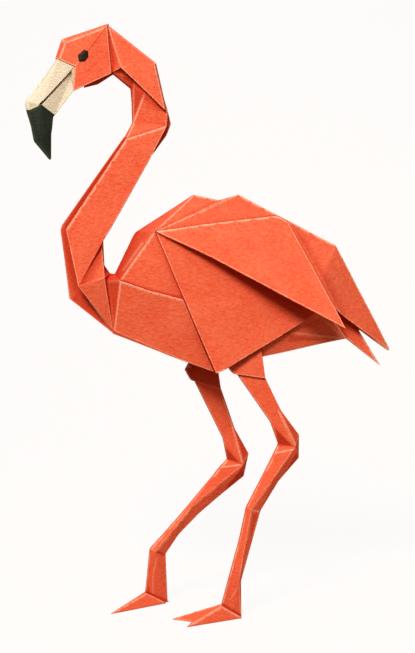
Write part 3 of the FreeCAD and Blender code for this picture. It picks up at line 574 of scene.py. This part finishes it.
def fold_weights(bm, radius):
    """Share of the fold radius that each edge has room for.

    A facet takes a rounding of up to 0.9 times its area over its perimeter, and an edge no
    more than 0.4 of the shorter edge next to it, so that roundings never cross. Where the
    paper turns by less than 3 degrees there is no fold.
    """
    layer = bm.edges.layers.float.new("bevel_weight_edge")
    for edge in bm.edges:
        if len(edge.link_faces) != 2 or edge.calc_face_angle(0.0) < math.radians(3):
            edge[layer] = 0.0
            continue
        room = radius
        for loop in edge.link_loops:
            face = loop.face
            room = min(room, 0.9 * face.calc_area() / face.calc_perimeter(),
                       0.4 * loop.link_loop_next.edge.calc_length(),
                       0.4 * loop.link_loop_prev.edge.calc_length())
        edge[layer] = room / radius


def merged_facets(node):
    """A copy of a CAD node's mesh with its triangles joined back into flat facets.

    Facets with more than 12 corners go back into triangles, because they round badly.
    """
    bm = bmesh.new()
    bm.from_mesh(node.data)
    bmesh.ops.remove_doubles(bm, verts=bm.verts, dist=SAME_PLACE)
    bmesh.ops.dissolve_degenerate(bm, edges=bm.edges, dist=SAME_PLACE)
    bmesh.ops.dissolve_limit(bm, angle_limit=math.radians(0.4), verts=bm.verts, edges=bm.edges)
    many_sided = [face for face in bm.faces if len(face.verts) > 12]
    bmesh.ops.triangulate(bm, faces=many_sided)
    return bm


def rounded(name, bm, radius, material):
    """The mesh with every fold rounded as far as its facets have room.

    The paper has the material twice: facets take the first slot and roundings the second, by
    which mark_folds tells them apart.
    """
    fold_weights(bm, radius)
    mesh = bpy.data.meshes.new(name)
    bm.to_mesh(mesh)
    bm.free()
    for _ in ("facets", "roundings"):
        mesh.materials.append(material)
    mesh.polygons.foreach_set("material_index", np.zeros(len(mesh.polygons), np.int32))
    piece = bpy.data.objects.new(name, mesh)
    bpy.context.scene.collection.objects.link(piece)
    bevel = piece.modifiers.new("Rounded folds", "BEVEL")
    bevel.limit_method = "WEIGHT"
    bevel.width = radius
    bevel.segments = 3
    bevel.use_clamp_overlap = False
    bevel.material = 1
    bpy.context.view_layer.update()
    seen = piece.evaluated_get(bpy.context.evaluated_depsgraph_get())
    shaped = bpy.data.meshes.new_from_object(seen)
    piece.modifiers.clear()
    piece.data = shaped
    bpy.data.meshes.remove(mesh)
    shaped.name = name
    return piece


def refined(mesh, step):
    """Halves edges longer than the step, as often as the longest needs, and leaves triangles."""
    bm = bmesh.new()
    bm.from_mesh(mesh)
    bmesh.ops.triangulate(bm, faces=bm.faces)
    longest = max(edge.calc_length() for edge in bm.edges)
    for _ in range(math.ceil(math.log2(max(longest / step, 1.0)))):
        long_edges = [edge for edge in bm.edges if edge.calc_length() > step]
        bmesh.ops.subdivide_edges(bm, edges=long_edges, cuts=1)
        bmesh.ops.triangulate(bm, faces=bm.faces)
    bm.to_mesh(mesh)
    bm.free()


def ripple(points, height, length):
    """Moves points as uneven paper lies: three crossing sine swells push them along X, Y and Z.

    Each swell is height * sin(2 pi * (direction . point) / length), with its own direction,
    share of the length and push. They die away over the lowest 8 % of the bird, so that its
    feet stay put.
    """
    swells = (((0.8, 0.3, 0.52), 1.0, (0.2, 1.0, 0.1)),
              ((-0.35, 0.5, 0.79), 0.62, (0.1, 0.7, -0.3)),
              ((0.6, -0.7, -0.38), 0.41, (-0.4, 0.4, 0.4)))
    moved = np.zeros_like(points)
    for direction, share, push in swells:
        phase = points @ np.array(direction) * (2 * math.pi / (length * share))
        moved += np.sin(phase + 3 * share)[:, None] * np.array(push) * share
    calm = np.clip(points[:, 2:] / (0.08 * HEIGHT), 0, 1)
    return points + height * moved * calm


def edge_neighbours(triangles):
    """The triangle across each triangle's three sides, and the far corner of each of these.

    Side k lies opposite corner k. Sorting the sides by their two ends brings each pair of
    triangles on one edge together; a side without a partner is given itself.
    """
    count = len(triangles)
    ends = np.stack([triangles[:, [1, 2]], triangles[:, [2, 0]], triangles[:, [0, 1]]], 1)
    order = np.sort(ends.reshape(-1, 2), axis=1)
    key = order[:, 0] * (triangles.max() + 1) + order[:, 1]
    rank = np.argsort(key, kind="stable")
    paired = np.flatnonzero(key[rank][:-1] == key[rank][1:])
    other = np.arange(3 * count)
    other[rank[paired]], other[rank[paired + 1]] = rank[paired + 1], rank[paired]
    return (other // 3).reshape(count, 3), triangles.reshape(-1)[other].reshape(count, 3)


def mark_folds(mesh):
    """Writes how far each point of the paper is from the folds that bound its triangle.

    "backs" counts outward folds and "insides" inward ones. Each is three distances, one for
    each side of the triangle: the height over that side where it is a fold, and NO_FOLD where
    it isn't, so that between the corners the least of the three is the true distance. A
    triangle on a rounding lies at a distance that shrinks to 0 as the fold gets sharper and the
    more the rounding faces up. Lower edges and shallow folds count as further away than they
    are. The colour laid on from these distances is wear with a painted highlight on the backs of
    folds, strongest on upper and sharp ones, and painted shade inside folds.
    """
    points = vertex_points(mesh)
    triangles = np.empty(len(mesh.loops), np.int64)
    slots = np.empty(len(mesh.polygons), np.int64)
    mesh.loops.foreach_get("vertex_index", triangles)
    mesh.polygons.foreach_get("material_index", slots)
    triangles, rounding = triangles.reshape(-1, 3), slots == 1
    corner = points[triangles]
    normal = np.cross(corner[:, 1] - corner[:, 0], corner[:, 2] - corner[:, 0])
    twice_area = np.linalg.norm(normal, axis=1)
    normal /= np.maximum(twice_area, 1e-15)[:, None]

    # the paper across each side: how far it dips below this triangle, and the sine of its turn
    across, far_corner = edge_neighbours(triangles)
    dip = np.einsum("tkc,tc->tk", points[far_corner] - corner[:, [1, 2, 0]], normal)
    side = corner[:, [2, 0, 1]] - corner[:, [1, 2, 0]]
    length = np.maximum(np.linalg.norm(side, axis=2), 1e-9)
    turn = np.abs(dip) * length / np.maximum(twice_area[across], 1e-12)

    # shares of the full fold marks (wear with painted highlight on a back, painted shade inside):
    # more on an upper side, the lit one, and by how sharp its fold is
    outward = np.cross(side, normal[:, None, :]) / length[..., None]
    upper = np.clip(0.15 + 1.2 * (outward @ np.array((-0.1, 0.0, 1.0))), 0.25, 1)
    sharp = np.clip(5 * (turn - FAINT_FOLD_TURN), 0.04, 1)
    height = twice_area[:, None] / length / (upper * sharp)
    crest = np.clip(3 * (turn.max(axis=1) - CREST_TURN), 0, 1)
    # roundings that face up are marked more: painted highlight where the lamps fall
    crest *= np.clip(0.5 + 0.6 * normal[:, 2], 0.25, 1)
    border = rounding[across] & ~rounding[:, None] & (turn > FOLD_TURN)
    bend = dip.sum(axis=1)
    for name, outside in (("backs", True), ("insides", False)):
        chosen = border & ((dip < 0) == outside)
        gaps = np.full((len(triangles), 3, 3), NO_FOLD)
        for k in range(3):
            over = np.zeros((len(triangles), 3))
            over[:, k] = np.minimum(height[:, k], NO_FOLD)
            gaps[:, :, k] = np.where(chosen[:, k, None], over, NO_FOLD)
        own = rounding & ((bend < 0) == outside)
        gaps[own] = (FOLD_MARK_REACH * (1 - crest[own]))[:, None, None]
        attribute = mesh.attributes.new(name, "FLOAT_VECTOR", "CORNER")
        attribute.data.foreach_set("vector", gaps.astype(np.float32).ravel())


def strip_facets(net, thickness):
    """A closed strip of paper through a net of points, lying against their inner side.

    Each row's points are joined to the next row's by flat facets. The other face of the
    sheet is the same net moved by the thickness against the net's mean normal, and a rim
    joins the two faces all round.
    """
    along = net[1:, :-1] - net[:-1, :-1]
    across = net[:-1, 1:] - net[:-1, :-1]
    normal = np.cross(across, along).sum(axis=(0, 1))
    normal /= np.linalg.norm(normal)
    points = np.concatenate([net, net - thickness * normal]).reshape(-1, 3)
    front = np.arange(net[..., 0].size).reshape(net.shape[:2])
    behind = front.size
    facets = np.stack([front[:-1, :-1], front[:-1, 1:], front[1:, 1:], front[1:, :-1]], -1)
    facets = np.stack([facets, facets[..., [0, 3, 2, 1]] + behind], -2).reshape(-1, 4)
    rim = np.concatenate([front[:, 0], front[-1, 1:], front[-2::-1, -1], front[0, -2:0:-1]])
    following = np.roll(rim, -1)
    walls = np.stack([rim, following, following + behind, rim + behind], 1)
    mesh = bpy.data.meshes.new("strip")
    mesh.from_pydata(points.tolist(), [], np.concatenate([facets, walls]).tolist())
    bm = bmesh.new()
    bm.from_mesh(mesh)
    bpy.data.meshes.remove(mesh)
    bmesh.ops.remove_doubles(bm, verts=bm.verts, dist=SAME_PLACE)
    bmesh.ops.recalc_face_normals(bm, faces=bm.faces)
    return bm


def neck_back():
    """Net of the fold that closes the neck behind, from under the loop down to the straight part.

    Each station is a place in the middle plane, measured forwards and down from the highest
    point of the loop, with the fold's half width there. Its middle stands out as a ridge,
    0.8 mm high, square to the neck.
    """
    stations = np.array(((0.0207, 0.0309, 0.0026), (0.0196, 0.0369, 0.0033),
                         (0.0193, 0.0393, 0.0039), (0.0264, 0.0523, 0.0043),
                         (0.0280, 0.0553, 0.0043)))
    loop_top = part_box("body_sheet")[1][2]
    forward, down, half = stations.T
    x, z, middle = -forward, loop_top - down, np.zeros(len(stations))
    ridge_x, ridge_z = 0.88 * 0.0008, -0.47 * 0.0008
    return np.stack([np.stack([x, -half, z], 1),
                     np.stack([x + ridge_x, middle, z + ridge_z], 1),
                     np.stack([x, half, z], 1)], 1)


def extra_fold(piece_name, net, material, settings):
    """A small fold of the same paper that has no solid of its own in the frame."""
    piece = finished_paper(piece_name, strip_facets(net, PLY), material, settings)
    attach(piece, "root")
    return piece


def paper_piece(node_name, piece_name, material, settings, hollows=()):
    """Turns a CAD node into finished paper and puts it in the node's place."""
    facets = merged_facets(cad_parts[node_name])
    piece = finished_paper(piece_name, facets, material, settings, hollows)
    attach(piece, "root")
    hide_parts(node_name)
    return piece


def finished_paper(piece_name, bm, material, settings, hollows=()):
    """Flat facets with rounded folds marked for wear and painted light, pressed hollows and gentle
    ripples.
    """
    piece = rounded(piece_name, bm, settings.fold_radius, material)
    mesh = piece.data
    if not len(mesh.polygons):
        raise RuntimeError(f"{piece_name} came out empty")
    refined(mesh, settings.step)
    mark_folds(mesh)
    points = pressed(vertex_points(mesh), hollows)
    points = ripple(points, settings.ripple_height, settings.ripple_length)
    points = np.clip(points, np.array(cad_low), np.array(cad_high))
    mesh.vertices.foreach_set("co", points.astype(np.float32).ravel())
    mesh.polygons.foreach_set("material_index", np.zeros(len(mesh.polygons), np.int32))
    mesh.materials.pop()
    mesh.shade_smooth()
    mesh.set_sharp_from_angle(angle=math.radians(40))
    mesh.update()
    even = piece.modifiers.new("Flat facets", "WEIGHTED_NORMAL")
    even.weight = 100
    even.keep_sharp = True
    return piece


# ---------------------------------------------------------------- operators

class FLAMINGO_OT_body(bpy.types.Operator):
    """Finish the coral sheet of the body, neck and head."""

    bl_idname = "flamingo.body"
    bl_label = "Body Sheet"

    def execute(self, context):
        folds = context.scene.flamingo_folds
        coral = paper_material("Coral Paper", context.scene.flamingo_paper.coral, CORAL_SHADES,
                               creases=(BODY_LINES, BODY_HOLLOWS))
        paper_piece("body_sheet", "folded_body", coral, folds, BODY_HOLLOWS)
        extra_fold("neck_back_fold", neck_back(), coral, folds)
        return {"FINISHED"}


class FLAMINGO_OT_legs(bpy.types.Operator):
    """Finish the two folded legs with their feet."""

    bl_idname = "flamingo.legs"
    bl_label = "Legs"

    def execute(self, context):
        folds = context.scene.flamingo_folds
        coral = paper_material("Leg Paper", context.scene.flamingo_paper.coral_legs, LEG_SHADES,
                               creases=(LEG_LINES, LEG_HOLLOWS))
        for side in ("left", "right"):
            paper_piece(f"{side}_leg", f"folded_{side}_leg", coral, folds,
                        LEG_HOLLOWS)
        return {"FINISHED"}


class FLAMINGO_OT_beak(bpy.types.Operator):
    """Finish the cream base of the beak and its black tip."""

    bl_idname = "flamingo.beak"
    bl_label = "Beak"

    def execute(self, context):
        paper, folds = context.scene.flamingo_paper, context.scene.flamingo_folds
        cream = paper_material("Cream Paper", paper.cream, CREAM_SHADES, wear=0.5,
                               creases=(BEAK_LINES, BEAK_HOLLOWS))
        black = paper_material("Black Paper", paper.black, BLACK_SHADES, wear=0.5,
                               roughness=0.5, speckle=0.2, creases=(TIP_LINES, TIP_HOLLOWS))
        paper_piece("beak_base", "folded_beak_base", cream, folds)
        paper_piece("beak_tip", "folded_beak_tip", black, folds)
        return {"FINISHED"}


class FLAMINGO_OT_eyes(bpy.types.Operator):
    """Finish the two faceted eyes."""

    bl_idname = "flamingo.eyes"
    bl_label = "Eyes"

    def execute(self, context):
        folds = context.scene.flamingo_folds
        dark = paper_material("Eye Paper", context.scene.flamingo_paper.eye, EYE_SHADES,
                              wear=0.7, roughness=0.5)
        for side in ("left", "right"):
            paper_piece(f"{side}_eye", f"folded_{side}_eye", dark, folds)
        return {"FINISHED"}


class FLAMINGO_OT_stage(bpy.types.Operator):
    """Set the floor, the lamps and the camera."""

    bl_idname = "flamingo.stage"
    bl_label = "Stage"

    def execute(self, context):
        stage = context.scene.flamingo_stage
        sweep_floor(stage)
        lamps(stage)
        camera(stage)
        surroundings()
        context.scene.view_settings.view_transform = "Standard"
        return {"FINISHED"}


def sweep_floor(stage):
    """Floor and backdrop in one: a level run, a quarter circle and an upright run, carried along X.

    The profile starts level at y = near and runs to y = far. There the bend begins,
    (y, z) = (far + bend sin t, bend - bend cos t) for t from 0 to 90 degrees, and then it goes
    straight up to z = rise. It reaches half its width to either side.
    """
    near, far, bend, rise, half = -6.0, 0.9, 0.5, 2.0, 5.0
    turn = np.linspace(0, math.pi / 2, 33)
    y = np.concatenate([[near], far + bend * np.sin(turn), [far + bend]])
    z = np.concatenate([[0.0], bend - bend * np.cos(turn), [rise]]) + cad_low.z
    x = np.array([-half, half])
    grid = np.stack(np.broadcast_arrays(x[:, None], y[None, :], z[None, :]), -1)
    first, count = np.arange(len(y) - 1), len(y)
    faces = np.stack([first, first + count, first + count + 1, first + 1], 1)
    mesh = bpy.data.meshes.new("studio_floor")
    mesh.from_pydata(grid.reshape(-1, 3).tolist(), [], faces.tolist())
    mesh.shade_smooth()
    mesh.materials.append(floor_material(stage))
    floor = bpy.data.objects.new("studio_floor", mesh)
    bpy.context.scene.collection.objects.link(floor)
    return floor


def floor_material(stage):
    """Matte card; what is seen of it is lifted by 78 % towards white, and its shadows stay."""
    material = bpy.data.materials.new("Studio Floor")
    tree = bare_tree(material)
    matte = place_node(tree, "ShaderNodeBsdfDiffuse", (0, 0), {"Color": (*stage.floor, 1.0)})
    glow = place_node(tree, "ShaderNodeEmission", (0, -1), {"Strength": 1.19})
    share = maths(tree, (1, 1), "MULTIPLY", plainly_seen(tree), 0.78)
    finish_blend(tree, share, matte, glow, "ShaderNodeOutputMaterial")
    return material


def lamps(stage):
    """A large soft key lamp at the upper left, a weak fill at the right and a soft one behind.

    Each stands where its place is added to the bird's middle, in metres, and faces the middle.
    """
    for name, power, size, colour, place in (
            ("Key", stage.key_power, 0.45, (1.0, 0.99, 0.96), (-0.55, -1.05, 1.08)),
            ("Fill", stage.fill_power, 0.9, (0.93, 0.96, 1.0), (0.95, -0.9, 0.35)),
            ("Back", stage.back_power, 0.9, (1.0, 0.96, 0.9), (0.5, 1.0, 0.9))):
        lamp = bpy.data.lights.new(name, "AREA")
        lamp.energy = power
        lamp.size = size
        lamp.color = colour
        holder = bpy.data.objects.new(name, lamp)
        holder.location = MIDDLE + Vector(place)
        holder.rotation_euler = (MIDDLE - holder.location).to_track_quat("-Z", "Y").to_euler()
        bpy.context.scene.collection.objects.link(holder)


def camera(stage):
    """The camera looks at the bird's left side, from a little ahead of it and above."""
    lens = bpy.data.cameras.new("Camera")
    lens.sensor_width = 36.0
    lens.lens = stage.lens
    lens.clip_start, lens.clip_end = 0.01, 20.0
    level = math.cos(stage.elevation)
    back = Vector((math.sin(stage.azimuth) * level, -math.cos(stage.azimuth) * level,
                   math.sin(stage.elevation)))
    aim = MIDDLE - Vector((stage.side_step, 0, 0))
    holder = bpy.data.objects.new("Camera", lens)
    holder.location = aim + back * stage.distance
    holder.rotation_euler = (-back).to_track_quat("-Z", "Y").to_euler()
    bpy.context.scene.collection.objects.link(holder)
    bpy.context.scene.camera = holder


def surroundings():
    """A dim warm room, the light that coral folds throw on one another, seen as plain white."""
    world = bpy.data.worlds.new("Studio")
    tree = bare_tree(world)
    room = place_node(tree, "ShaderNodeBackground", (0, 0),
                      {"Color": (1.0, 0.60, 0.42, 1.0), "Strength": 0.10})
    white = place_node(tree, "ShaderNodeBackground", (0, -1),
                       {"Color": (1, 1, 1, 1), "Strength": 1.0})
    finish_blend(tree, plainly_seen(tree), room, white, "ShaderNodeOutputWorld")
    bpy.context.scene.world = world


class FLAMINGO_PT_panel(bpy.types.Panel):
    """Lists the flamingo's pieces and its stage."""

    bl_idname = "FLAMINGO_PT_panel"
    bl_label = "Origami Flamingo"
    bl_space_type = "VIEW_3D"
    bl_region_type = "UI"
    bl_category = "Flamingo"

    def draw(self, context):
        for group in SETTINGS:
            settings = getattr(context.scene, group)
            box = self.layout.box()
            for name in settings.__annotations__:
                box.prop(settings, name)
        for step in STEPS:
            self.layout.operator(step.bl_idname)


SETTINGS = {
    "flamingo_folds": FoldSettings,
    "flamingo_paper": PaperSettings,
    "flamingo_stage": StageSettings,
}
STEPS = (FLAMINGO_OT_body, FLAMINGO_OT_legs, FLAMINGO_OT_beak, FLAMINGO_OT_eyes, FLAMINGO_OT_stage)


def register():
    """Registers the settings, the operators and the panel."""
    for cls in (*SETTINGS.values(), *STEPS, FLAMINGO_PT_panel):
        bpy.utils.register_class(cls)
    for name, cls in SETTINGS.items():
        setattr(bpy.types.Scene, name, PointerProperty(type=cls))


def unregister():
    """Takes the settings, the operators and the panel away again."""
    for name in SETTINGS:
        delattr(bpy.types.Scene, name)
    for cls in reversed((*SETTINGS.values(), *STEPS, FLAMINGO_PT_panel)):
        bpy.utils.unregister_class(cls)


def main():
    """Makes every piece and the stage."""
    register()
    bpy.ops.flamingo.body()
    bpy.ops.flamingo.legs()
    bpy.ops.flamingo.beak()
    bpy.ops.flamingo.eyes()
    bpy.ops.flamingo.stage()


if __name__ == "__main__":
    main()
